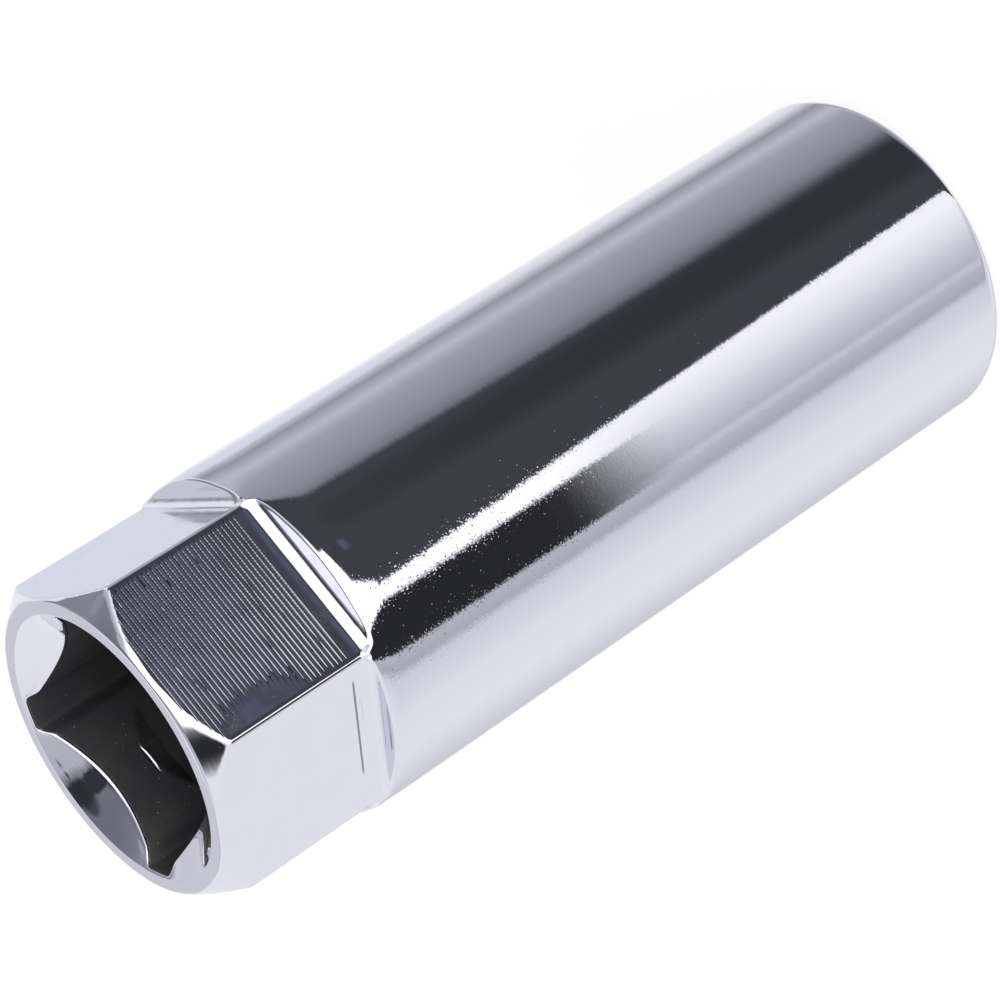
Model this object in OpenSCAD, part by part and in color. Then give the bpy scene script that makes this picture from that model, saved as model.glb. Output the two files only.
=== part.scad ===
// Deep spark plug socket: a chromed barrel that stands on its working end, with a square drive and an
// outside wrench hexagon at the top, and a rubber holder for the plug's insulator inside

/* [Barrel] */
// Length over both ends
body_length = 63.4; // [52:0.1:90]
// Diameter of the polished barrel
body_diameter = 22.5; // [22.4:0.1:30]
// Rounding of the barrel's outer rim at the working end
mouth_round = 1.2; // [0.2:0.1:1.2]

/* [Wrench hexagon] */
// Distance across the milled flats
hex_flats = 19.2; // [18.6:0.1:19.4]
// How much the turned land takes off the hexagon's sharp corners
corner_break = 0.035; // [0.01:0.005:0.3]
// Lengths of the three pairs of opposite flats, from the end face to the start of the run-out
flat_lengths = [11.2, 10.6, 10.7]; // [6:0.1:16]
// Length of the turned land, from the end face to the start of its step up to the barrel
land_length = 11.3; // [6:0.1:18]
// Radius of the run-out between a flat and its shoulder
runout_radius = 0.85; // [0.3:0.05:1.5]
// Lean of the shoulder away from the square-on plane, in degrees
shoulder_lean = 6; // [0:1:45]
// Turn of the hexagon about the axis, from in line with the drive square, in degrees
hex_turn = -2.5; // [-15:0.5:15]

/* [Drive end] */
// How far the rim of the flat end face lies inside the milled flats
end_inset = 0.05; // [0.01:0.01:0.6]
// Height of the cone that breaks the hexagon's corners
end_chamfer_height = 1.55; // [0.5:0.05:3]
// Softening between the end face and that cone
end_round = 0.4; // [0.1:0.05:0.6]
// Distance across the flats of the drive square
square_flats = 12.8; // [12.7:0.05:13.4]
// How far the cut corners of the square stand out beyond its flats
corner_reach = 2.15; // [1.6:0.05:2.3]
// How far the walls step out beyond the flats next to those corners
corner_relief = 0.3; // [0.1:0.05:0.4]
// Width of the relieved strip on each side of a corner
relief_width = 2.1; // [1.5:0.1:2.5]
// Depth of the square from the end face
square_depth = 16.5; // [12:0.1:22]
// How far the countersink's rim stands out beyond those corners
sink_lip = 0.15; // [0.05:0.05:0.4]
// Full angle of the countersink, in degrees
sink_angle = 113; // [80:1:130]

/* [Detent groove] */
// Depth of the groove's middle below the end face
detent_depth = 7; // [6:0.1:9]
// Width of the groove where it breaks through a flat of the square
detent_width = 4.9; // [2:0.1:6]
// Depth of the groove's floor below a flat of the square
detent_cut = 0.7; // [0.3:0.1:1.2]
// Width of the groove's floor
detent_floor = 2.2; // [0.5:0.1:3]

/* [Working end] */
// Distance across the flats of the plug hexagon
plug_flats = 16.2; // [13:0.1:16.4]
// Depth of the plug hexagon from the working end
plug_depth = 21; // [12:0.1:26]
// How far the lead-in's rim stands out beyond the corners of the plug hexagon
lead_in_lip = 0.25; // [0.05:0.05:0.5]
// Full angle of the lead-in, in degrees
lead_in_angle = 90; // [40:5:120]

/* [Middle] */
// Diameter of the round bore that takes the rubber holder
bore_diameter = 15.8; // [12.6:0.1:17]
// Thickness of the web under the drive square
web_thickness = 3; // [1.5:0.1:6]
// Diameter of the hole through the web
web_hole_diameter = 11; // [8:0.1:12]
// Depth into the bore's wall of the ring groove that keeps the rubber holder in
keeper_cut = 0.7; // [0.3:0.1:1.2]
// Width of that ring groove at the bore
keeper_width = 3.4; // [2.4:0.1:5]
// Width of that ring groove's floor
keeper_floor = 2; // [0.5:0.1:2.4]

/* [Rubber holder] */
// Bore that grips the plug's insulator
grip_diameter = 10.2; // [8:0.1:11]
// Widest diameter of the lead-in to the grip
grip_mouth_diameter = 13; // [11.5:0.1:14.5]
// Height of the lead-in to the grip
grip_mouth_height = 2.6; // [1:0.1:5]
// Gap between the rubber and the metal around it
rubber_clearance = 0.05; // [0.02:0.01:0.2]

/* [Hidden] */
$fn = 96;
body_r = body_diameter / 2;
land_r = hex_flats / 2 / cos(30) - corner_break;
land_step = body_r - land_r;
end_r = hex_flats / 2 - end_inset;
square_corner_r = square_flats / 2 + corner_reach;
relief_run = 2 * corner_relief;
sink_r = square_corner_r + sink_lip;
sink_height = sink_r / tan(sink_angle / 2);
plug_corner_r = plug_flats / 2 / cos(30);
lead_in_r = plug_corner_r + lead_in_lip;
lead_in_height = lead_in_r / tan(lead_in_angle / 2);
square_floor_z = body_length - square_depth;
web_z = square_floor_z - web_thickness;
bore_r = bore_diameter / 2;
bore_length = web_z - plug_depth;
keeper_r = bore_r + keeper_cut;
keeper_z = plug_depth + bore_length / 2;
land_z = body_length - land_length;
// How far a cut runs past the surface that it opens
overshoot = 1;
chrome_colour = [0.86, 0.86, 0.88];
rubber_colour = [0.12, 0.12, 0.13];

// Half section of the turned blank, with the radius along X and the height along Y
module blank_section() {
    cone_run = land_r - end_r;
    cone_angle = atan2(end_chamfer_height, cone_run);
    round_reach = end_round * tan(cone_angle / 2);
    polygon([
        [0, 0],
        [body_r - mouth_round, 0],
        [body_r, mouth_round],
        [body_r, land_z - land_step],
        [land_r, land_z],
        [land_r, body_length - end_chamfer_height],
        [end_r + round_reach * cos(cone_angle), body_length - round_reach * sin(cone_angle)],
        [end_r - round_reach, body_length],
        [0, body_length]
    ]);
    translate([body_r - mouth_round, mouth_round]) circle(r = mouth_round);
    translate([end_r - round_reach, body_length - end_round]) circle(r = end_round);
}

// Section of the milling cut over one flat, with X down the barrel from the flat's end and Y out from the flat
module flat_cut_section(flat_length) {
    sweep = 90 - shoulder_lean;
    tangent = runout_radius * [sin(sweep), 1 - cos(sweep)];
    cut_height = body_r - hex_flats / 2 + overshoot;
    polygon([
        [-flat_length - overshoot, 0],
        [0, 0],
        tangent,
        [tangent[0] + (cut_height - tangent[1]) * tan(shoulder_lean), cut_height],
        [-flat_length - overshoot, cut_height]
    ]);
    translate([0, runout_radius]) circle(r = runout_radius);
}

// The flats are milled two at a time, on opposite sides, so each pair has one length
module wrench_flats() {
    for (pair = [0:2], side = [0, 180])
        rotate([0, 0, hex_turn + 60 * pair + side])
            translate([hex_flats / 2, 0, body_length - flat_lengths[pair]])
                rotate([90, 90, 0])
                    linear_extrude(height = body_diameter, center = true)
                        flat_cut_section(flat_lengths[pair]);
}

// Outline of the strip that is relieved on both sides of one corner of the square, on sloping steps
module relief_outline() {
    flat = square_flats / 2;
    wall = flat + corner_relief;
    start = flat - relief_width;
    polygon([
        [start, start],
        [flat, start],
        [wall, start + relief_run],
        [wall, wall],
        [start + relief_run, wall],
        [start, flat]
    ]);
}

module drive_square() {
    intersection() {
        translate([0, 0, square_floor_z])
            linear_extrude(height = square_depth + overshoot)
                union() {
                    square(square_flats, center = true);
                    for (corner = [0:90:270]) rotate(corner) relief_outline();
                }
        translate([0, 0, square_floor_z - overshoot])
            cylinder(r = square_corner_r, h = square_depth + 3 * overshoot);
    }
    translate([0, 0, body_length - sink_height])
        cylinder(r1 = 0, r2 = sink_r + overshoot * tan(sink_angle / 2), h = sink_height + overshoot);
    translate([0, 0, body_length - detent_depth])
        ring(square_flats / 2, square_flats / 2 + detent_cut, detent_width, detent_floor);
}

module plug_hexagon() {
    translate([0, 0, -overshoot])
        rotate([0, 0, 30])
            cylinder(r = plug_corner_r, h = plug_depth + overshoot, $fn = 6);
    translate([0, 0, -overshoot])
        cylinder(
            r1 = lead_in_r + overshoot * tan(lead_in_angle / 2),
            r2 = 0,
            h = lead_in_height + overshoot
        );
}

// Round bore with its ring groove, and the hole through the web into the drive square
module holder_bore() {
    translate([0, 0, plug_depth - overshoot]) cylinder(r = bore_r, h = bore_length + overshoot);
    translate([0, 0, web_z - overshoot])
        cylinder(d = web_hole_diameter, h = web_thickness + 2 * overshoot);
    translate([0, 0, keeper_z]) ring(bore_r, keeper_r, keeper_width, keeper_floor);
}

// Disc about the height zero whose rim stands out from one radius to another on sloping sides
module ring(base_r, crest_r, base_width, crest_width) {
    rotate_extrude()
        polygon([
            [0, -base_width / 2],
            [base_r, -base_width / 2],
            [crest_r, -crest_width / 2],
            [crest_r, crest_width / 2],
            [base_r, base_width / 2],
            [0, base_width / 2]
        ]);
}

module socket_body() {
    color(chrome_colour)
        difference() {
            rotate_extrude() blank_section();
            wrench_flats();
            drive_square();
            plug_hexagon();
            holder_bore();
        }
}

module rubber_holder() {
    outer_r = bore_r - rubber_clearance;
    bottom_z = plug_depth + rubber_clearance;
    height = bore_length - 2 * rubber_clearance;
    color(rubber_colour)
        difference() {
            union() {
                translate([0, 0, bottom_z]) cylinder(r = outer_r, h = height);
                translate([0, 0, keeper_z])
                    ring(
                        outer_r,
                        keeper_r - rubber_clearance,
                        keeper_width - 2 * rubber_clearance,
                        keeper_floor - 2 * rubber_clearance
                    );
            }
            translate([0, 0, bottom_z - overshoot])
                cylinder(d = grip_diameter, h = height + 2 * overshoot);
            translate([0, 0, bottom_z])
                cylinder(d1 = grip_mouth_diameter, d2 = grip_diameter, h = grip_mouth_height);
        }
}

socket_body();
rubber_holder();
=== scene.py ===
import math

import bpy
from mathutils import Matrix, Vector


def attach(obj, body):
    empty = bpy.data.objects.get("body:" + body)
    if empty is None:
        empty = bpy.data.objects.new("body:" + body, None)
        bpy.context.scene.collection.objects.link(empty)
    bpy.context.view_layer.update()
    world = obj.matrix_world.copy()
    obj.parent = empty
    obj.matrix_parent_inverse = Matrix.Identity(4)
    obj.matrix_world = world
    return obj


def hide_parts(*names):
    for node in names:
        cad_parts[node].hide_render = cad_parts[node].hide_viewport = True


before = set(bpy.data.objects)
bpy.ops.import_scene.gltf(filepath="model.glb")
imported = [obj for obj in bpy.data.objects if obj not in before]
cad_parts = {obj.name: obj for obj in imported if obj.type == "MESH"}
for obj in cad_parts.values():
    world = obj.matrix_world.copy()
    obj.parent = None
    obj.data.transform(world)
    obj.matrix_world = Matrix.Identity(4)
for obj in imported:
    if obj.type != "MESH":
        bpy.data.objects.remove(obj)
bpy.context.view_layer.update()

scene = bpy.context.scene
scene.view_settings.view_transform = "Standard"
mm = 0.001
fullTurn = 2 * math.pi
print("frame loaded:", sorted(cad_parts))


class Wire:
    # An output socket in a node tree: sums on it add Math nodes, and add() makes any other node
    def __init__(self, tree, socket=None):
        self.tree = tree
        self.socket = socket

    def add(self, kind, settings=None, inputs=None, output=0):
        node = self.tree.nodes.new(kind)
        for key, value in (settings or {}).items():
            if key == "stops":
                self.setStops(node.color_ramp, value)
            elif key == "items":
                for extra in range(value - len(node.index_switch_items)):
                    node.index_switch_items.new()
            else:
                setattr(node, key, value)
        for key, value in (inputs or {}).items():
            if isinstance(value, Wire):
                self.tree.links.new(value.socket, node.inputs[key])
            else:
                node.inputs[key].default_value = value
        return Wire(self.tree, node.outputs[output])

    def setStops(self, ramp, stops):
        while len(ramp.elements) < len(stops):
            ramp.elements.new(1.0)
        for element, (place, colour) in zip(ramp.elements, stops):
            element.position = place
            element.color = (*colour, 1.0)

    def math(self, operation, *values):
        return self.add("ShaderNodeMath", {"operation": operation}, dict(enumerate(values)))

    def __add__(self, other):
        return self.math("ADD", self, other)

    def __sub__(self, other):
        return self.math("SUBTRACT", self, other)

    def __rsub__(self, other):
        return self.math("SUBTRACT", other, self)

    def __mul__(self, other):
        return self.math("MULTIPLY", self, other)

    def __truediv__(self, other):
        return self.math("DIVIDE", self, other)

    def __rtruediv__(self, other):
        return self.math("DIVIDE", other, self)

    def __abs__(self):
        return self.math("ABSOLUTE", self)

    __radd__ = __add__
    __rmul__ = __mul__

    def step(self, low, high):
        # 0 below low, 1 above high, smooth between
        return self.add("ShaderNodeMapRange", {"interpolation_type": "SMOOTHSTEP"},
                        {"Value": self, "From Min": low, "From Max": high})

    def vector(self, operation, inputs=None, output="Vector"):
        return self.add("ShaderNodeVectorMath", {"operation": operation}, {0: self, **(inputs or {})}, output)

    def axes(self):
        # The three parts of a vector
        parts = self.add("ShaderNodeSeparateXYZ", {}, {0: self}).socket.node
        return tuple(Wire(self.tree, parts.outputs[axis]) for axis in "XYZ")

    def noise(self, scale, detail=2.0, roughness=0.5):
        return self.add("ShaderNodeTexNoise", {}, {
            "Vector": self, "Scale": scale, "Detail": detail, "Roughness": roughness})

    def cells(self, scale):
        # Distance from the nearest of points scattered through space
        return self.add("ShaderNodeTexVoronoi", {}, {"Vector": self, "Scale": scale}, output="Distance")

    def mix(self, under, over):
        # Colour that goes from under to over as this value goes from 0 to 1
        under, over = (end if isinstance(end, Wire) else (*end, 1.0) for end in (under, over))
        return self.add("ShaderNodeMix", {"data_type": "RGBA"}, {0: self, 6: under, 7: over}, output=2)


# Node trees that turn a half section about the axis

def sizeTree(name, sizes):
    # An empty Geometry Nodes tree with one named input for each size
    tree = bpy.data.node_groups.new(name, "GeometryNodeTree")
    tree.interface.new_socket("Section", in_out="INPUT", socket_type="NodeSocketGeometry")
    for label in sizes:
        tree.interface.new_socket(label, in_out="INPUT", socket_type="NodeSocketFloat")
    tree.interface.new_socket("Piece", in_out="OUTPUT", socket_type="NodeSocketGeometry")
    groupIn = tree.nodes.new("NodeGroupInput")
    return tree, {socket.name: Wire(tree, socket) for socket in groupIn.outputs if socket.name}


def storeValue(bench, geometry, name, value):
    return bench.add("GeometryNodeStoreNamedAttribute", {"data_type": "FLOAT", "domain": "POINT"},
                     {"Geometry": geometry, "Name": name, "Value": value})


def spinSection(bench, section, columns):
    # A closed ring of columns, each a copy of the section, with the column's number stored on its points
    ring = bench.add("GeometryNodeCurvePrimitiveCircle", {}, {"Resolution": columns})
    ring = storeValue(bench, ring, "column", bench.add("GeometryNodeInputIndex"))
    line = bench.add("GeometryNodeMeshToCurve", {}, {"Mesh": section})
    return bench.add("GeometryNodeCurveToMesh", {}, {"Curve": ring, "Profile Curve": line})


def rowValue(bench, name, kind="FLOAT"):
    return bench.add("GeometryNodeInputNamedAttribute", {"data_type": kind}, {"Name": name})


def placePoints(bench, geometry, turn, radius, height):
    # Sizes in the trees are millimetres
    place = bench.add("ShaderNodeCombineXYZ", {}, {
        "X": radius * bench.math("COSINE", turn) * mm,
        "Y": radius * bench.math("SINE", turn) * mm,
        "Z": height * mm})
    return bench.add("GeometryNodeSetPosition", {}, {"Geometry": geometry, "Position": place})


def closeTree(bench, geometry, material):
    geometry = bench.add("GeometryNodeFlipFaces", {}, {"Mesh": geometry})  # outwards
    geometry = bench.add("GeometryNodeSetShadeSmooth", {}, {"Geometry": geometry})
    geometry = bench.add("GeometryNodeRealizeInstances", {}, {"Geometry": geometry})
    geometry = bench.add("GeometryNodeSetMaterial", {}, {"Geometry": geometry, "Material": material})
    groupOut = bench.tree.nodes.new("NodeGroupOutput")
    bench.tree.links.new(geometry.socket, groupOut.inputs[0])


def turnPiece(name, rows, tree, sizes):
    # Rows are points of the half section, each a dictionary of the values that the tree reads
    section = bpy.data.meshes.new(name + "Section")
    count = len(rows)
    section.from_pydata([(row["reach"], 0, row["height"]) for row in rows],
                        [(i, (i + 1) % count) for i in range(count)], [])
    for label in rows[0]:
        kind = "INT" if label == "tool" else "FLOAT"
        values = section.attributes.new(label, kind, "POINT").data
        for i, row in enumerate(rows):
            values[i].value = row[label]
    blank = bpy.data.objects.new(name + "Blank", section)
    scene.collection.objects.link(blank)
    shaping = blank.modifiers.new("shaping", "NODES")
    shaping.node_group = tree
    for item in tree.interface.items_tree:
        if item.in_out == "INPUT" and item.name in sizes:
            shaping[item.identifier] = float(sizes[item.name])
    blank.modifiers.new("evenShading", "WEIGHTED_NORMAL").weight = 50
    graph = bpy.context.evaluated_depsgraph_get()
    mesh = bpy.data.meshes.new_from_object(blank.evaluated_get(graph), depsgraph=graph)
    mesh.name = name
    bpy.data.objects.remove(blank)
    piece = bpy.data.objects.new(name, mesh)
    scene.collection.objects.link(piece)
    print(name, "made:", len(mesh.vertices), "points,", len(mesh.polygons), "faces")
    return piece


# Finishes, on Object coordinates in millimetres

def newMaterial(name):
    material = bpy.data.materials.new(name)
    material.use_nodes = True
    tree = material.node_tree
    return material, Wire(tree), tree.nodes["Principled BSDF"]


def feed(wire, shader, socket):
    wire.tree.links.new(wire.socket, shader.inputs[socket])


def objectPlace(bench):
    return bench.add("ShaderNodeTexCoord", output="Object").vector("SCALE", {"Scale": 1 / mm})


def stretched(place, around, along):
    return place.vector("MULTIPLY", {1: (around, around, along)})


chromeFinish = {
    "plate": (0.745, 0.74, 0.80),
    # Painted shade: the dark colour mixed into the plate in the grooves of the feed marks and the scratch
    "grooveShadeColour": (0.10, 0.10, 0.12),
    "bareSteel": (0.14, 0.14, 0.15),
    "bareBrown": (0.18, 0.176, 0.168),
    "roughness": 0.035,
    "bareRoughness": 0.58,
    "millRoughness": 0.16,
    "rubbedRoughness": 0.06,
    # Polishing lines: how far they turn the mirror image, and how close they lie round and along
    "lineJitter": 0.009,
    "lineGrain": (1.3, 12.0),
    "strayLines": 0.007,
    "strayGrain": (1.1, 9.0),
    "strayRange": (0.5, 0.72),
    # Specks on the lower side of the barrel, more of them towards the hexagon
    "specks": 4.0,
    "speckScale": 9.0,
    "speckLeast": 0.25,
    "speckHeights": (24.0, 46.0),
    "speckSide": (-3.0, 0.5),
    "speckEnd": (51.2, 52.0),
    # Relief of the surface
    "grainScale": 7.0,
    "bareGrain": 0.012,
    "plateGrain": 0.0003,
    "pitScale": 1.6,
    "pitEdge": (0.03, 0.07),
    "pitDepth": 0.003,
    # Bare steel: brown where oil has dried, with flakes of plate
    "brownScale": 0.35,
    "brownRange": (0.48, 0.7),
    "speckleScale": 4.5,
    "flakeScale": 2.6,
    "flakeEdge": (0.07, 0.12),
    "flakeRange": (0.5, 0.58),
    # Painted shade in the grooves of the feed marks and the scratch: darker on the whole, more so to one side
    # and towards the end, and broken into dots
    "grooveShadeEdge": (0.1, 0.45),
    "grooveShadeShare": 0.48,
    "grooveShadeSide": 0.2,
    "grooveShadeSideSpan": (-2.0, 4.0),
    "grooveShadeEnd": 0.12,
    "grooveShadeEndSpan": (55.0, 61.0),
    "grooveShadeDots": 0.28,
    "dotPitch": 31.0,
    "dotWander": 4.0,
    "dotEdge": (-0.3, 0.3),
    "dotsFrom": (-4.0, 0.5),
    "solidUpTo": (-6.5, -6.0),
    # Smears on the plate, haze on the flats, and a rubbed corner of one flat
    "smearGrain": (0.2, 1.2),
    "smearSpan": (0.6, 0.8),
    "hazeScale": 0.55,
    "hazeRange": (0.4, 0.75),
    "rubbedSide": (-4.5, -2.0),
    "rubbedHeights": (59.6, 61.2),
    "rubbedFront": (5.0, 6.0),
}


def makeChrome(look):
    material, bench, shader = newMaterial("polishedChrome")
    place = objectPlace(bench)
    x, y, z = place.axes()
    bare, milled, groove = (bench.add("ShaderNodeAttribute", {"attribute_name": name}, output="Fac")
                            for name in ("bare", "milled", "groove"))
    barrel = (1 - bare) * (1 - milled)

    # Polishing lines and specks turn the mirror image a little about the axis
    fineLines = stretched(place, *look["lineGrain"]).noise(1.0, 2.0, 0.6) - 0.5
    strayLines = stretched(place, *look["strayGrain"]).noise(1.0, 1.0).step(*look["strayRange"])
    specks = place.noise(look["speckScale"], 1.0) - 0.5
    specks = specks * specks * specks * (1 - y.step(*look["speckSide"])) * (1 - z.step(*look["speckEnd"]))
    specks = specks * (look["speckLeast"] + (1 - look["speckLeast"]) * z.step(*look["speckHeights"]))
    lean = fineLines * look["lineJitter"] - strayLines * look["strayLines"] + specks * look["specks"]
    tangent = bench.add("ShaderNodeCombineXYZ", {}, {"X": 0 - y, "Y": x, "Z": 0.0}).vector("NORMALIZE")
    sway = tangent.vector("SCALE", {"Scale": lean * barrel})
    normal = bench.add("ShaderNodeNewGeometry", output="Normal")
    normal = normal.vector("ADD", {1: sway}).vector("NORMALIZE")

    # Pits in the plate, and grain on the bare steel inside
    grain = place.noise(look["grainScale"], 3.0)
    pits = 1 - place.cells(look["pitScale"]).step(*look["pitEdge"])
    height = grain * (look["bareGrain"] * bare + look["plateGrain"])
    height = height - pits * look["pitDepth"] * (1 - bare)
    bump = bench.add("ShaderNodeBump", {}, {
        "Strength": 1.0, "Distance": mm, "Height": height, "Normal": normal})
    feed(bump, shader, "Normal")

    # Plate outside, darkened with painted shade along the feed marks and the scratch, and dark steel in the
    # holes
    speckle = place.noise(look["speckleScale"], 1.0)
    dots = bench.math("SINE", y * look["dotPitch"] + speckle * look["dotWander"]).step(*look["dotEdge"])
    dots = dots * y.step(*look["dotsFrom"]) + (1 - y.step(*look["solidUpTo"]))
    dull = look["grooveShadeShare"] + look["grooveShadeSide"] * y.step(*look["grooveShadeSideSpan"])
    dull = dull + look["grooveShadeEnd"] * z.step(*look["grooveShadeEndSpan"]) + look["grooveShadeDots"] * dots
    # The plate colour here carries painted shade in the grooves, from the groove shade mask stored on the
    # body
    plate = (groove.step(*look["grooveShadeEdge"]) * dull).mix(look["plate"], look["grooveShadeColour"])
    brown = place.noise(look["brownScale"], 4.0).step(*look["brownRange"])
    flakes = 1 - place.cells(look["flakeScale"]).step(*look["flakeEdge"])
    flakes = flakes * speckle.step(*look["flakeRange"])
    steel = flakes.mix(brown.mix(look["bareSteel"], look["bareBrown"]), look["plate"])
    feed(bare.mix(plate, steel), shader, "Base Color")

    smear = stretched(place, *look["smearGrain"]).noise(1.0)
    haze = place.noise(look["hazeScale"], 4.0).step(*look["hazeRange"])
    rubbed = (1 - y.step(*look["rubbedSide"])) * x.step(*look["rubbedFront"])
    rubbed = rubbed * z.step(*look["rubbedHeights"])
    millRoughness = look["millRoughness"] * haze + look["rubbedRoughness"] * rubbed
    least, most = look["smearSpan"]
    plateRoughness = look["roughness"] * (least + most * smear) + milled * millRoughness
    feed(plateRoughness + bare * (look["bareRoughness"] - plateRoughness), shader, "Roughness")
    shader.inputs["Metallic"].default_value = 1.0
    return material


rubberFinish = {
    "colour": (0.022, 0.022, 0.024),
    "worn": (0.045, 0.045, 0.047),
    "wornScale": 0.5,
    "wornRange": (0.5, 0.75),
    "roughness": 0.62,
    "roughnessSpread": 0.12,
    "grainScale": 5.0,
    "grainHeight": 0.04,
    "bumpStrength": 0.6,
}


def makeRubber(look):
    material, bench, shader = newMaterial("blackRubber")
    place = objectPlace(bench)
    grain = place.noise(look["grainScale"], 4.0)
    worn = place.noise(look["wornScale"], 2.0).step(*look["wornRange"])
    feed(worn.mix(look["colour"], look["worn"]), shader, "Base Color")
    feed(look["roughness"] + look["roughnessSpread"] * (grain - 0.5), shader, "Roughness")
    bump = bench.add("ShaderNodeBump", {}, {
        "Strength": look["bumpStrength"], "Distance": mm, "Height": grain * look["grainHeight"]})
    feed(bump, shader, "Normal")
    return material


chrome = makeChrome(chromeFinish)
rubber = makeRubber(rubberFinish)
print("finishes made: chrome and rubber")


# Socket body: the half section is turned, the flats are milled with their run-outs, and the square
# and the hexagon are broached; drops are measured down from the drive end

socketBody = {
    # Columns round the axis, and how much they crowd to the corners
    "columns": 300,
    "hexCrowding": 0.85,
    "squareCrowding": 0.8,
    "length": 63.4,
    "barrelRadius": 11.25,
    "barrelDrops": (50.0, 38.0, 26.0),
    "faceRadius": 9.85,
    "mouthRound": 1.2,
    # Wrench flats; the fades are angles in degrees from the middle of a flat
    "hexTurn": math.radians(-2.5),
    "flatDistance": 9.6,
    "frontFlatLength": 11.2,
    "upperFlatLength": 10.6,
    "lowerFlatLength": 10.7,
    "lengthFade": (27.6, 30.0),
    "millFade": (27.5, 29.0),
    "cornerSoftness": 0.42,
    # Run-outs, their shoulders, and the neck of the barrel behind them
    "runoutRows": 24,
    "runoutRadius": 0.85,
    "shoulderLean": math.radians(6),
    "shoulderRound": 0.16,
    "lowRound": 0.6,
    "chatter": 0.16,
    "chatterGrain": (3.2, 4.0),
    "chatterShift": 5.7,
    "neckRows": (1.0, 0.75, 0.54, 0.37, 0.23, 0.11),
    "edgeTaper": 0.14,
    "taperPower": 2.5,
    "taperFade": (15.0, 29.0),
    "edgeLength": 2.0,
    # Feed marks: the profile of one is its steps up the flat, share of the depth and share of painted groove
    # shade
    "marks": 32,
    "firstMark": 10.3,
    "markPitch": 0.312,
    "markDepth": 0.032,
    "markProfile": ((-0.025, 0, 0), (0.0, 0, 1), (0.042, 0.5, 1), (0.084, 1, 1),
                    (0.106, 0, 1), (0.126, 0, 0)),
    "fillPoint": (0.2, 0, 0),
    "fillBelow": 2.2,
    "markFade": (27.0, 29.3),
    "markEnd": (0.12, 0.35),
    "otherFlats": 0.05,
    "breaks": (0.25, 0.5),
    "breakGrain": 1.3,
    "breakStretch": 3.1,
    "breakShift": 7.3,
    "shallowShare": 0.7,
    "shallowEnd": (1.5, 8.0),
    "wornPlace": (-5.0, 4.6),
    "wornReach": (1.7, 3.2),
    "wornEdge": (0.9, 1.7),
    "wornRagged": 0.9,
    "scratchDrop": (10.1, 10.15),
    "scratchStart": (-3.4, -1.5),
    "scratchStop": (3.5, 4.6),
    # Drive end
    "chamferRadius": 11.05,
    "chamferHeight": 1.55,
    "chamferSoftness": 0.34,
    "chamferFade": (0.0, 0.2),
    "endRadius": 9.55,
    "endRound": 0.4,
    "endRows": (9.2, 9.1, 9.0, 8.9),
    "sinkRadius": 8.7,
    "sinkSlope": 1 / math.tan(math.radians(56.5)),
    "sinkDish": 0.09,
    "rimBreak": 0.05,
    "edgeBreak": 0.12,
    "edgeShare": 0.4,
    "wallStart": 0.15,
    # Drive square, with its ring groove and the polished facet above that
    "squareDistance": 6.4,
    "squareCornerRadius": 8.55,
    "squareSoftness": 0.15,
    "cornerRelief": 0.3,
    "reliefStart": 4.3,
    "reliefRun": 0.65,
    "squareDepth": 16.5,
    "wallRow": 2.6,
    "detentDepth": 7.0,
    "detentWidth": 4.9,
    "detentFloor": 2.2,
    "detentRadius": 7.1,
    # Painted light: a bare share below 1 mixes plate colour into the detent groove so its shadow reads
    # lighter
    "detentBare": 0.85,
    "facetReach": 0.1,
    "facetWidth": 0.13,
    "facetGap": 0.05,
    "facetLeads": (0.12, 0.01),
    "facetShares": (1.0, 0.88, 0.12, 0.0),
    "facetHalf": (0.7, 1.1),
    # Web, bore with its ring groove, and plug hexagon
    "webThickness": 3.0,
    "webRows": (6.2, 5.9),
    "webHoleRadius": 5.5,
    "cornerBreak": 0.2,
    "boreRadius": 7.9,
    "keeperRadius": 8.6,
    "keeperWidth": 3.4,
    "keeperFloor": 2.0,
    "plugDistance": 8.1,
    "plugDepth": 21.0,
    "plugFloorRow": 0.3,
    "plugWallRow": 3.0,
    "leadRadius": 9.603,
}
bodyInputs = [
    "length", "barrelRadius", "hexTurn", "flatDistance",
    "frontFlatLength", "upperFlatLength", "lowerFlatLength", "cornerSoftness",
    "runoutRadius", "shoulderLean", "shoulderRound", "chatter", "edgeTaper", "edgeLength",
    "firstMark", "markDepth", "chamferSoftness",
    "sinkRadius", "sinkSlope", "sinkDish", "rimBreak", "edgeBreak",
    "squareDistance", "squareCornerRadius", "squareSoftness", "cornerRelief", "reliefStart", "reliefRun",
    "plugDistance", "leadRadius",
]
tools = ["turned", "milled", "flatEnd", "runout", "neck", "sinkCone", "sinkEdge", "squareWall",
         "plugEdge", "plugCone", "plugWall"]


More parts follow.
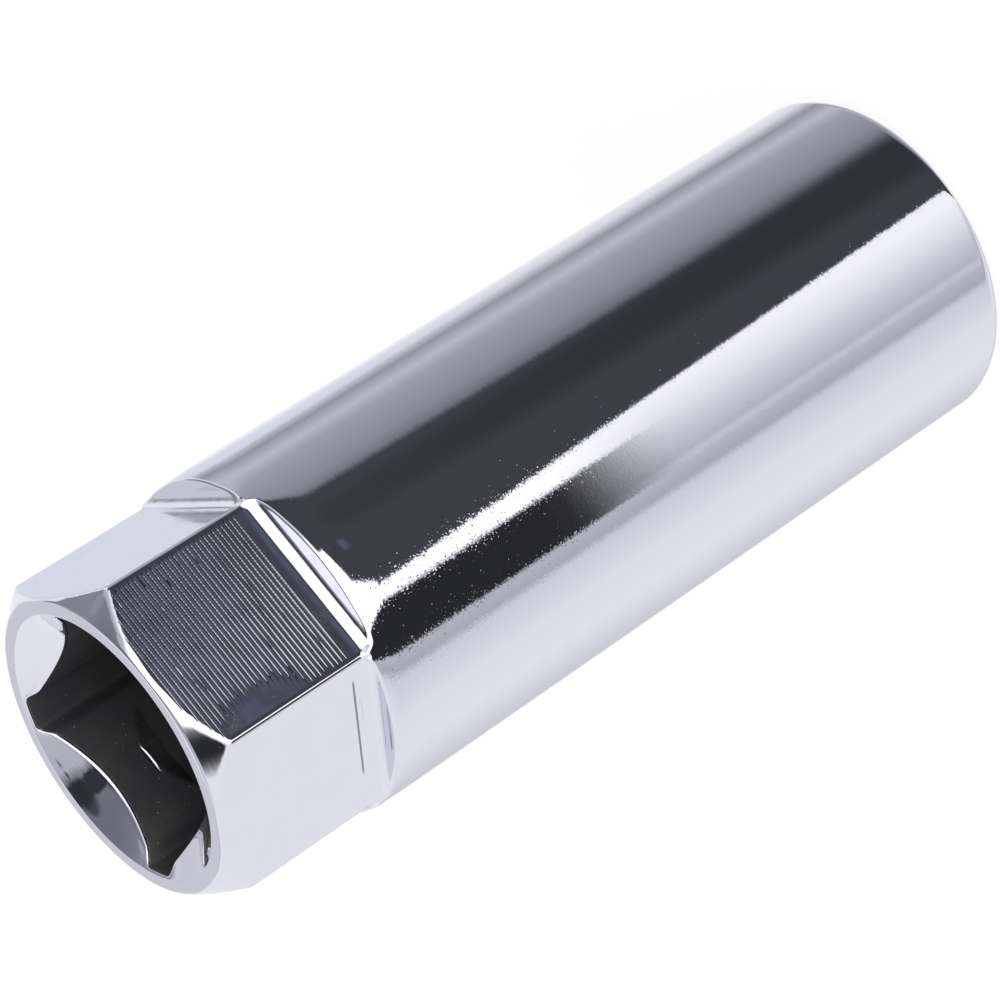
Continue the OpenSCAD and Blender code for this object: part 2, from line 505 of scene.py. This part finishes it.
def bodySection(size):
    length, barrelRadius, endRadius = size["length"], size["barrelRadius"], size["endRadius"]
    rows = []

    # Fold says which shape the columns crowd to: 0 the wrench hexagon, 1 the square, 2 the plug hexagon
    def row(tool, radius=0.0, drop=0.0, along=0.0, fold=0.0, bare=0.0, mark=0.0, dull=0.0, flat=0.0):
        rows.append({"tool": tools.index(tool), "reach": radius, "height": length - drop, "along": along,
                     "fold": fold, "bare": bare, "mark": mark, "dull": dull, "flat": flat})

    # Working end: face, rounded rim, barrel up to the neck
    row("turned", size["faceRadius"], length)
    mouth = size["mouthRound"]
    for i in range(11):
        turn = math.radians(90 * i / 10)
        row("turned", barrelRadius - mouth + mouth * math.sin(turn),
            length - mouth + mouth * math.cos(turn))
    for drop in size["barrelDrops"]:
        row("turned", barrelRadius, drop)
    for along in size["neckRows"]:
        row("neck", along=along)
    # Shoulder and run-out of each flat, then the flats with their feed marks
    for i in range(size["runoutRows"] + 1):
        along = 1 - i / size["runoutRows"]
        row("runout", along=along * along * (3 - 2 * along), flat=1)
    row("flatEnd", along=0.5, flat=1)
    slope = math.atan2(size["chamferHeight"], size["chamferRadius"] - endRadius)
    for i in range(size["marks"]):
        first = size["firstMark"] - size["markPitch"] * i
        fill = (size["fillPoint"],) if first < size["fillBelow"] else ()
        for offset, mark, dull in (*size["markProfile"], *fill):
            drop = first - offset
            row("milled", endRadius + drop / math.tan(slope), drop, mark=mark, dull=dull, flat=1)
    # Softened rim of the cone that breaks the corners, end face
    soft = size["endRound"]
    reach = soft * math.tan(slope / 2)
    for i in range(7):
        turn = slope * (1 - i / 6)
        row("milled", endRadius - reach + soft * math.sin(turn), soft * (1 - math.cos(turn)))
    for i, radius in enumerate(size["endRows"]):
        row("turned", radius, fold=(i + 1) / len(size["endRows"]))
    # Countersink and drive square with its ring groove
    lip = size["rimBreak"]
    for i in range(5):
        inward = lip * i / 2
        row("turned", size["sinkRadius"] + lip - inward,
            size["sinkSlope"] * inward ** 2 / (4 * lip), fold=1)
    for along in (0.2, 0.4, 0.6, 0.8, 1.0):
        row("sinkCone", along=along, fold=1)
    for along in (0.25, 0.5, 0.75, 1.0):
        row("sinkEdge", along=along, fold=1)
    wall, middle = size["squareDistance"], size["detentDepth"]
    outer, inner = size["detentWidth"] / 2, size["detentFloor"] / 2
    facetEnd = middle - outer - size["facetGap"]
    facetTop = facetEnd - size["facetWidth"]
    for drop in (0.0, size["wallRow"], *(facetTop - lead for lead in size["facetLeads"])):
        row("squareWall", drop=drop, fold=1, bare=1)
    for share in size["facetShares"]:
        row("squareWall", wall + size["facetReach"] * share, facetEnd - size["facetWidth"] * share, fold=1)
    # The detent groove's rows carry painted light through their lowered bare share
    for side in (-1, 1):
        for i in range(7):
            share = i / 6 if side < 0 else 1 - i / 6
            row("squareWall", wall + share * (size["detentRadius"] - wall),
                middle + side * (outer + share * (inner - outer)), fold=1, bare=size["detentBare"])
    floor, ease = size["squareDepth"], size["cornerBreak"]
    for drop in (middle + outer + ease / 2, floor - ease, floor):
        row("squareWall", drop=drop, fold=1, bare=1)
    # Web with its hole, bore with its ring groove, floor of the plug hexagon
    for i, radius in enumerate(size["webRows"]):
        row("turned", radius, floor, fold=1 + i / 2, bare=1)
    web = floor + size["webThickness"]
    plugFloor = length - size["plugDepth"]
    keeper = (web + plugFloor) / 2
    wide, narrow = size["keeperWidth"] / 2, size["keeperFloor"] / 2
    hole, bore, ring = size["webHoleRadius"], size["boreRadius"], size["keeperRadius"]
    for radius, drop in ((hole + ease, floor), (hole, floor + ease), (hole, web - ease),
                         (hole + ease, web), (bore, web), (bore, keeper - wide),
                         (ring, keeper - narrow), (ring, keeper + narrow),
                         (bore, keeper + wide), (bore, plugFloor)):
        row("turned", radius, drop, fold=2, bare=1)
    # Plug hexagon and its lead-in
    for drop, bare in ((plugFloor, 1), (plugFloor + size["plugFloorRow"], 1),
                       (length - size["plugWallRow"], 0.8), (length, 0.5)):
        row("plugWall", drop=drop, fold=2, bare=bare)
    for along in (1.0, 0.75, 0.5, 0.25):
        row("plugEdge", along=along, fold=2)
    for along in (1.0, 0.75, 0.5, 0.25, 0.0):
        row("plugCone", along=along, fold=2)
    return rows


def bodyTree(size):
    tree, given = sizeTree("socketShape", bodyInputs)
    bench = Wire(tree)
    geometry = spinSection(bench, given["Section"], size["columns"])
    tool = rowValue(bench, "tool", "INT")
    radius, height, along, fold, column = (rowValue(bench, name) for name in (
        "reach", "height", "along", "fold", "column"))
    drop = given["length"] - height

    def madeBy(name):
        return bench.math("COMPARE", rowValue(bench, "tool"), float(tools.index(name)), 0.1)

    # Columns crowd towards the corners of whichever shape the row belongs to
    def crowded(first, corners, density, shift):
        part = (column - shift) * (corners / size["columns"])
        wave = bench.math("SINE", part * fullTurn) * (density / fullTurn)
        return first + (part - wave) * (fullTurn / corners)

    hexTurns = crowded(given["hexTurn"] + math.radians(30), 6, size["hexCrowding"], 0)
    cornerGap = math.radians(45 - 30) - size["hexTurn"]
    squareTurns = crowded(math.radians(45), 4, size["squareCrowding"],
                          round(size["columns"] * cornerGap / fullTurn))
    plugTurns = crowded(math.radians(30), 6, size["hexCrowding"], 0)
    toSquare = bench.math("MINIMUM", fold, 1.0)
    toPlug = bench.math("MAXIMUM", fold - 1, 0.0)
    turn = hexTurns + (squareTurns - hexTurns) * toSquare + (plugTurns - squareTurns) * toPlug

    def folded(angle, corners):
        # Number of the nearest flat, and the angle from the middle of it
        share = angle * (corners / fullTurn)
        nearest = bench.math("ROUND", share)
        return nearest, (share - nearest) * (fullTurn / corners)

    # Milled flats: the lengths differ from pair to pair and blend over the corners
    flat, lean = folded(turn - given["hexTurn"], 6)
    pairLengths = [given[name] for name in ("frontFlatLength", "upperFlatLength", "lowerFlatLength")]

    def pairOf(number):
        return bench.math("ROUND", bench.math("FLOORED_MODULO", number, 3.0))

    def pairLength(number):
        return bench.add("GeometryNodeIndexSwitch", {"data_type": "FLOAT", "items": 3},
                         {0: pairOf(number), 1: pairLengths[0], 2: pairLengths[1], 3: pairLengths[2]})

    def cornerward(fade):
        return abs(lean).step(math.radians(fade[0]), math.radians(fade[1]))

    ownLength = pairLength(flat)
    nextLength = pairLength(flat + bench.math("SIGN", lean))
    flatLength = ownLength + (nextLength - ownLength) * cornerward(size["lengthFade"]) * 0.5
    cosLean = bench.math("COSINE", lean)
    flatRadius = given["flatDistance"] / cosLean
    nextRadius = given["flatDistance"] / bench.math("COSINE", math.radians(60) - abs(lean))
    softRadius = bench.math("SMOOTH_MIN", flatRadius, nextRadius, given["cornerSoftness"])
    cornerCut = flatRadius - softRadius

    # Feed marks, deeper on one pair of flats and broken along their length; one worn patch, one scratch
    pair = pairOf(flat)
    isFront = bench.math("COMPARE", pair, 0.0, 0.1)
    isLower = bench.math("COMPARE", pair, 2.0, 0.1)
    across = bench.math("TANGENT", lean) * given["flatDistance"]
    spot = bench.add("ShaderNodeCombineXYZ", {}, {
        "X": across, "Y": drop * size["breakStretch"], "Z": flat * size["breakShift"]})
    broken = spot.noise(size["breakGrain"])
    wornAcross = (across - size["wornPlace"][0]) / size["wornReach"][0]
    wornAlong = (drop - size["wornPlace"][1]) / size["wornReach"][1]
    worn = wornAcross * wornAcross + wornAlong * wornAlong + size["wornRagged"] * broken
    inside = (1 - cornerward(size["markFade"])) * (radius - softRadius).step(*size["markEnd"])
    cut = (size["otherFlats"] + (1 - size["otherFlats"]) * isFront) * inside
    cut = cut * broken.step(*size["breaks"]) * worn.step(*size["wornEdge"])
    shallow = size["shallowShare"]
    cut = cut * (shallow + (1 - shallow) * drop.step(*size["shallowEnd"]))
    scratch = across.step(*size["scratchStart"]) * (1 - across.step(*size["scratchStop"]))
    cut = bench.math("MAXIMUM", cut, isLower * drop.step(*size["scratchDrop"]) * scratch)
    milledRadius = bench.math("SMOOTH_MIN", radius, softRadius, given["chamferSoftness"])
    milledRadius = milledRadius - given["markDepth"] * cut * rowValue(bench, "mark")
    flatEndDrop = given["firstMark"] + (flatLength - given["firstMark"]) * along

    # Run-out: a fillet, a leaning shoulder and a rounded edge where it meets the barrel
    taper = given["edgeTaper"] * (1 - cornerward(size["taperFade"]))
    edgeRadius = given["barrelRadius"] - taper

    def shoulderDrop(rise, out):
        bend = given["runoutRadius"]
        sweep = math.pi / 2 - given["shoulderLean"]
        endRise = bend * (1 - bench.math("COSINE", sweep))
        low = bench.math("MINIMUM", rise, endRise)
        arc = bench.math("SQRT", bend * bend - (bend - low) * (bend - low))
        wall = bench.math("MAXIMUM", rise - endRise, 0.0) * bench.math("TANGENT", given["shoulderLean"])
        room = bench.math("MINIMUM", given["shoulderRound"], (edgeRadius - flatRadius) * size["lowRound"])
        left = bench.math("MAXIMUM", room - (edgeRadius - out), 0.0)
        edge = room - bench.math("SQRT", bench.math("MAXIMUM", room * room - left * left, 0.0))
        return flatLength + arc + wall + edge

    fullRise = edgeRadius * cosLean - given["flatDistance"]
    rise = fullRise * along
    runoutOut = (given["flatDistance"] + rise) / cosLean
    grainAcross, grainAlong = size["chatterGrain"]
    chatter = bench.add("ShaderNodeCombineXYZ", {}, {
        "X": across * grainAcross, "Y": along * grainAlong, "Z": flat * size["chatterShift"]})
    chatter = (chatter.noise(1.0) - 0.5) * along * (1 - along)
    runoutRadius = runoutOut - cornerCut * (1 - along) + given["chatter"] * chatter
    runoutDrop = shoulderDrop(rise, runoutOut)
    neckDrop = shoulderDrop(fullRise, edgeRadius) + given["edgeLength"] * along
    neckRadius = given["barrelRadius"] - taper * bench.math("POWER", 1 - along, size["taperPower"])

    # Countersunk holes: a cone down to the walls, a broken edge, then the walls
    def sunkHole(wall, rim, start, slope, dish):
        ease = bench.math("MINIMUM", given["edgeBreak"], (start - wall) * size["edgeShare"])
        wallDrop = (rim - wall) * slope
        coneRadius = start + (wall + ease - start) * along
        left = 1 - along
        sag = dish * (start - wall) * along * left
        easeRadius = wall + ease * left * left
        easeDrop = wallDrop - slope * ease * left * left + ease * along * along
        wallStart = wallDrop + ease + size["wallStart"]
        return coneRadius, (rim - coneRadius) * slope + sag, easeRadius, easeDrop, wallStart

    squareLean = folded(turn, 4)[1]
    beside = abs(bench.math("TANGENT", squareLean)) * given["squareDistance"]
    reliefEnd = given["reliefStart"] + given["reliefRun"]
    relief = given["cornerRelief"] * beside.step(given["reliefStart"], reliefEnd)
    squareWall = (given["squareDistance"] + relief) / bench.math("COSINE", squareLean)
    squareWall = bench.math("SMOOTH_MIN", squareWall, given["squareCornerRadius"], given["squareSoftness"])
    sinkStart = given["sinkRadius"] - given["rimBreak"]
    sinkRadius, sinkDrop, sinkEdgeRadius, sinkEdgeDrop, squareTop = sunkHole(
        squareWall, given["sinkRadius"], sinkStart, given["sinkSlope"], given["sinkDish"])
    squareRadius = bench.math("MAXIMUM", squareWall, radius)
    squareDrop = bench.math("MAXIMUM", drop, squareTop)
    plugWall = given["plugDistance"] / bench.math("COSINE", folded(turn, 6)[1])
    leadRadius, leadRise, leadEdgeRadius, leadEdgeRise, plugTop = sunkHole(
        plugWall, given["leadRadius"], given["leadRadius"], 1.0, 0.0)
    plugDrop = bench.math("MINIMUM", drop, given["length"] - plugTop)

    # One radius and one drop for each tool, in the order of the list of tools
    radii = [radius, milledRadius, softRadius, runoutRadius, neckRadius, sinkRadius, sinkEdgeRadius,
             squareRadius, leadEdgeRadius, leadRadius, plugWall]
    drops = [drop, drop, flatEndDrop, runoutDrop, neckDrop, sinkDrop, sinkEdgeDrop, squareDrop,
             given["length"] - leadEdgeRise, given["length"] - leadRise, plugDrop]

    def chosen(values):
        inputs = {0: tool}
        inputs.update({i + 1: value for i, value in enumerate(values)})
        return bench.add("GeometryNodeIndexSwitch", {"data_type": "FLOAT", "items": len(tools)}, inputs)

    onCone = madeBy("milled") * (1 - (radius - softRadius).step(*size["chamferFade"]))
    milledMask = rowValue(bench, "flat") * (1 - cornerward(size["millFade"])) * (1 - onCone)
    besideFacet = madeBy("squareWall") * beside.step(*size["facetHalf"])
    bareMask = bench.math("MAXIMUM", rowValue(bench, "bare"), besideFacet)
    geometry = storeValue(bench, geometry, "milled", milledMask)
    # Painted shade: this mask darkens the plate colour in the feed marks and the scratch
    geometry = storeValue(bench, geometry, "groove", cut * rowValue(bench, "dull"))
    geometry = storeValue(bench, geometry, "bare", bareMask)
    geometry = placePoints(bench, geometry, turn, chosen(radii), given["length"] - chosen(drops))
    closeTree(bench, geometry, chrome)
    return tree


body = turnPiece("socketBody", bodySection(socketBody), bodyTree(socketBody), socketBody)


# Rubber sleeve that grips the plug: a turned section with soft lips and grip grooves

rubberSleeve = {
    "columns": 144,
    "outerRadius": 7.85,
    "beadRadius": 8.55,
    "bottom": 21.05,
    "top": 43.85,
    "beadWidth": 3.3,
    "beadFloor": 1.9,
    "gripRadius": 5.1,
    "mouthRadius": 6.5,
    "mouthHeight": 2.6,
    "mouthLand": 0.4,
    "lip": 0.45,
    "grooves": 4,
    "firstGroove": 3.5,
    "groovePitch": 3.6,
    "grooveWidth": 1.6,
    "grooveDepth": 0.22,
}


def sleeveSection(size):
    rows = []

    def row(radius, height):
        rows.append({"reach": radius, "height": height})

    def roundLip(radius, height, outward, upward, first, last):
        for i in range(7):
            turn = math.radians(first + (last - first) * i / 6)
            row(radius + outward * size["lip"] * (math.cos(turn) - 1),
                height + upward * size["lip"] * (math.sin(turn) - 1))

    outer, grip, bottom, top = size["outerRadius"], size["gripRadius"], size["bottom"], size["top"]
    middle = (bottom + top) / 2
    wide, narrow = size["beadWidth"] / 2, size["beadFloor"] / 2
    roundLip(outer, bottom, 1, -1, 90, 0)
    row(outer, middle - wide)
    row(size["beadRadius"], middle - narrow)
    row(size["beadRadius"], middle + narrow)
    row(outer, middle + wide)
    roundLip(outer, top, 1, 1, 0, 90)
    roundLip(grip, top, -1, 1, 90, 0)
    for number in range(size["grooves"]):
        start = top - size["firstGroove"] - number * size["groovePitch"]
        for i in range(9):
            depth = size["grooveDepth"] * math.sin(math.pi * i / 8) ** 2
            row(grip + depth, start - size["grooveWidth"] * i / 8)
    row(grip, bottom + size["mouthHeight"] + size["mouthLand"])
    for i in range(9):
        share = i / 8
        spread = share * share * (size["mouthRadius"] - grip)
        row(grip + spread, bottom + size["mouthHeight"] * (1 - share))
    return rows


def sleeveTree(size):
    tree, given = sizeTree("sleeveShape", ["columns"])
    bench = Wire(tree)
    geometry = spinSection(bench, given["Section"], size["columns"])
    turn = rowValue(bench, "column") * fullTurn / given["columns"]
    geometry = placePoints(bench, geometry, turn, rowValue(bench, "reach"), rowValue(bench, "height"))
    closeTree(bench, geometry, rubber)
    return tree


sleeve = turnPiece("rubberSleeve", sleeveSection(rubberSleeve), sleeveTree(rubberSleeve), rubberSleeve)

for piece, node, slot in ((body, "socket_body", "polished_chrome"),
                          (sleeve, "rubber_holder", "black_rubber")):
    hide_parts(node)
    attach(piece, "root")
print("pieces placed on the frame")


# Stage: pale floor, the studio that the chrome mirrors, lamps and camera

floorLook = {"half": 6.0, "colour": (0.92, 0.92, 0.92), "glow": 0.92}


def makeFloor(look):
    material = bpy.data.materials.new("paleFloor")
    material.use_nodes = True
    bench = Wire(material.node_tree)
    bench.tree.nodes.clear()
    camera, glossy, through = (bench.add("ShaderNodeLightPath", output=name) for name in (
        "Is Camera Ray", "Is Glossy Ray", "Is Transmission Ray"))
    seen = bench.math("MINIMUM", camera + glossy + through, 1.0)
    matt = bench.add("ShaderNodeBsdfDiffuse", {}, {"Color": (*look["colour"], 1)})
    white = bench.add("ShaderNodeEmission", {}, {"Color": (1, 1, 1, 1), "Strength": 1.0})
    mixed = bench.add("ShaderNodeMixShader", {}, {0: seen * look["glow"], 1: matt, 2: white})
    output = bench.tree.nodes.new("ShaderNodeOutputMaterial")
    bench.tree.links.new(mixed.socket, output.inputs["Surface"])
    half = look["half"]
    mesh = bpy.data.meshes.new("floor")
    mesh.from_pydata([(-half, -half, 0), (half, -half, 0), (half, half, 0), (-half, half, 0)],
                     [], [(0, 1, 2, 3)])
    mesh.materials.append(material)
    floor = bpy.data.objects.new("floor", mesh)
    scene.collection.objects.link(floor)
    floor.visible_glossy = False  # the plate mirrors the studio in its place


# The studio by compass angle and height in degrees; a tone is the display tone that the plate then shows
studio = {
    "ring": [(-180, 182), (-160, 196), (-140, 214), (-125, 221), (-100, 219), (-75.5, 201), (-71, 165),
             (-62.5, 177), (-58.5, 193), (-55, 177), (-39, 203), (-31, 220), (-15, 240), (0, 238), (42, 85),
             (60, 136), (84, 154), (96, 180), (111, 143), (127, 206), (155, 221)],
    "ceiling": [(0.0, 220), (0.25, 223), (0.53, 220), (0.66, 200), (0.76, 176), (0.885, 170), (0.912, 122),
                (1.0, 105)],
    "dimSide": (0.073, 0.416, 0.906),
    "horizon": (-19.0, -8.0),
    "darkHorizon": (-7.0, -2.0),
    # Edges of the wall and the flare lean: an angle at the height that they start from, and its change
    "darkWall": {"tone": 63, "from": -38.8, "first": (-5.3, -1.29), "last": (40.5, 0.93),
                 "soft": (2.0, 6.0)},
    "bluePatch": {"tone": (82, 86, 104), "span": (7.6, 14.2), "soft": (2.4, 2.4),
                  "low": (-26.9, -25.0), "high": (-23.8, -22.4)},
    "blackCard": {"tone": 42, "first": -61.0, "last": -29.5, "low": (-33.0, -30.8), "soft": 3.0},
    "whiteStrip": {"tone": 262, "first": -28.0, "last": -17.0, "low": (-33.0, -30.0), "soft": 2.0},
    "flare": {"tone": 272, "from": -27.5, "rise": (0.0, 1.5), "to": (0.0, 12.0), "low": (-28.0, -0.6),
              "high": (-17.5, 0.7), "bend": (12.5, 6.0), "limit": 14.0, "soft": (3.0, 3.0)},
    "spots": [{"tone": 275, "towards": (-10, 20), "reach": (28, 37)},
              {"tone": 275, "towards": (0, 50), "reach": (18, 27)},
              {"tone": 262, "towards": (162, 40), "reach": (7, 13)},
              {"tone": 44, "towards": (-63, 60), "reach": (0.5, 15.5)},
              {"tone": 128, "towards": (105, 27), "reach": (17, 25)},
              {"tone": 193, "towards": (153, 18), "reach": (17, 26)},
              {"tone": (203, 206, 221), "towards": (131, -22), "reach": (6, 12)},
              {"tone": 52, "towards": (30, -41), "reach": (5, 18)},
              {"tone": 66, "towards": (62, 75), "reach": (4.5, 8)},
              {"tone": 48, "towards": (56, 81.5), "reach": (4.3, 7.6)},
              {"tone": 52, "towards": (111, 82), "reach": (4.3, 6.0)},
              {"tone": 52, "towards": (-21.4, 82.9), "reach": (3.4, 4.6)},
              {"tone": 56, "towards": (-59.6, 80.3), "reach": (2.9, 5.4)},
              {"tone": 180, "towards": (176.5, 33.5), "reach": (5, 9)},
              {"tone": 50, "towards": (52, 2), "reach": (9, 13)}],
    "blueing": (0.024, 0.3),
    "gamma": 2.2,
}


def displayed(tone):
    # Light that makes the plate show a display tone; darker grey tones are a little bluer
    plate = chromeFinish["plate"]
    if isinstance(tone, tuple):
        return tuple((part / 255) ** studio["gamma"] / share for part, share in zip(tone, plate))
    level = (tone / 255) ** studio["gamma"] / plate[0]
    dark = max(0.0, 1 - tone / 255)
    green, blue = studio["blueing"]
    return (level, level * (1 + green * dark), level * (1 + blue * dark))


def towards(angle, rise):
    level = math.cos(math.radians(rise))
    return (math.cos(math.radians(angle)) * level, math.sin(math.radians(angle)) * level,
            math.sin(math.radians(rise)))


def makeStudio(look):
    world = bpy.data.worlds.new("studio")
    world.use_nodes = True
    scene.world = world
    bench = Wire(world.node_tree)
    direction = bench.add("ShaderNodeTexCoord", output="Generated")
    x, y, z = direction.axes()
    turn = bench.math("ARCTAN2", y, x) * math.degrees(1)
    height = bench.math("ARCSINE", z) * math.degrees(1)
    half = 0.5  # ramps and mixes stay below 1, and the background doubles them

    def dim(tone):
        return tuple(half * level for level in displayed(tone))

    def nearness(aim):
        return direction.vector("DOT_PRODUCT", {1: aim}, "Value")

    def ramp(place, stops):
        stops = [(spot, dim(tone)) for spot, tone in stops]
        return bench.add("ShaderNodeValToRGB", {"stops": stops}, {"Fac": place})

    def between(first, last, soft):
        return first.step(-soft[0] / 2, soft[0] / 2) * (1 - last.step(-soft[1] / 2, soft[1] / 2))

    def card(look):
        sides = between(turn - look["first"], turn - look["last"], (look["soft"], look["soft"]))
        return sides * height.step(*look["low"])

    def leaning(edge, above):
        return edge[0] + edge[1] * above

    # Low down: a ring of tones, a white strip, a black card and a dark wall with a bluer patch
    light = ramp(turn / 360 + 0.5, [((angle + 180) / 360, level) for angle, level in look["ring"]])
    wall, patch, flare = look["darkWall"], look["bluePatch"], look["flare"]
    above = bench.math("MAXIMUM", height - wall["from"], 0.0)
    wallMask = between(turn - leaning(wall["first"], above), turn - leaning(wall["last"], above),
                       wall["soft"])
    blackMask = card(look["blackCard"])
    light = card(look["whiteStrip"]).mix(light, dim(look["whiteStrip"]["tone"]))
    light = blackMask.mix(light, dim(look["blackCard"]["tone"]))
    light = wallMask.mix(light, dim(wall["tone"]))
    patchMask = between(turn - patch["span"][0], turn - patch["span"][1], patch["soft"])
    patchMask = patchMask * height.step(*patch["low"]) * (1 - height.step(*patch["high"]))
    light = (wallMask * patchMask).mix(light, dim(patch["tone"]))

    # The ceiling starts higher over the dark cards, with a bright flare between them
    side = nearness(look["dimSide"])
    upper = ramp(side * 0.5 + 0.5, [(0.5 + 0.5 * place, level) for place, level in look["ceiling"]])
    dark = bench.math("MAXIMUM", wallMask, blackMask)
    start = height.step(*look["horizon"])
    light = (start + (height.step(*look["darkHorizon"]) - start) * dark).mix(light, upper)
    above = bench.math("MAXIMUM", height - flare["from"], 0.0)
    bend = flare["bend"][1] * bench.math("MAXIMUM", above - flare["bend"][0], 0.0)
    high = bench.math("MINIMUM", leaning(flare["high"], above) + bend, flare["limit"])
    flareMask = between(turn - leaning(flare["low"], above), turn - high, flare["soft"])
    flareMask = flareMask * above.step(*flare["rise"]) * (1 - height.step(*flare["to"]))
    light = flareMask.mix(light, dim(flare["tone"]))
    for spot in look["spots"]:
        inner, outer = (math.cos(math.radians(angle)) for angle in spot["reach"])
        light = nearness(towards(*spot["towards"])).step(outer, inner).mix(light, dim(spot["tone"]))

    # The camera sees plain white
    light = bench.add("ShaderNodeLightPath", output="Is Camera Ray").mix(light, (half, half, half))
    backdrop = bench.tree.nodes["Background"]
    bench.tree.links.new(light.socket, backdrop.inputs["Color"])
    backdrop.inputs["Strength"].default_value = 1 / half


studioLamps = [
    {"name": "keyLamp", "place": (0.45, -0.55, 0.9), "side": 0.7, "watts": 9.0},
    {"name": "fillLamp", "place": (-0.7, 0.5, 0.8), "side": 0.9, "watts": 6.0},
]


def makeLamp(look):
    lamp = bpy.data.lights.new(look["name"], "AREA")
    lamp.shape = "SQUARE"
    lamp.size = look["side"]
    lamp.energy = look["watts"]
    item = bpy.data.objects.new(look["name"], lamp)
    scene.collection.objects.link(item)
    item.location = look["place"]
    item.rotation_mode = "QUATERNION"
    item.rotation_quaternion = Vector(look["place"]).to_track_quat("Z", "Y")
    item.visible_glossy = False


photoCamera = {
    "eye": (185.8186, -50.6150, 144.7157),
    "right": (0.2620513, -0.6362606, -0.7256043),
    "down": (-0.4830031, -0.7374030, 0.4721704),
    "forward": (-0.8354861, 0.2267362, -0.5005533),
    "focalPixels": 3688.98,
    "imagePixels": 1000,
    "sensorWidth": 36.0,
    "clip": (0.01, 30.0),
}


def makeCamera(look):
    camera = bpy.data.cameras.new("photoCamera")
    camera.sensor_width = look["sensorWidth"]
    camera.lens = look["sensorWidth"] * look["focalPixels"] / look["imagePixels"]
    camera.clip_start, camera.clip_end = look["clip"]
    item = bpy.data.objects.new("photoCamera", camera)
    scene.collection.objects.link(item)
    turned = Matrix((look["right"], -Vector(look["down"]), -Vector(look["forward"]))).transposed()
    item.matrix_world = Matrix.Translation(Vector(look["eye"]) * mm) @ turned.to_4x4()
    scene.camera = item


makeFloor(floorLook)
makeStudio(studio)
for lampLook in studioLamps:
    makeLamp(lampLook)
makeCamera(photoCamera)
print("stage set: floor, studio, lamps and camera")
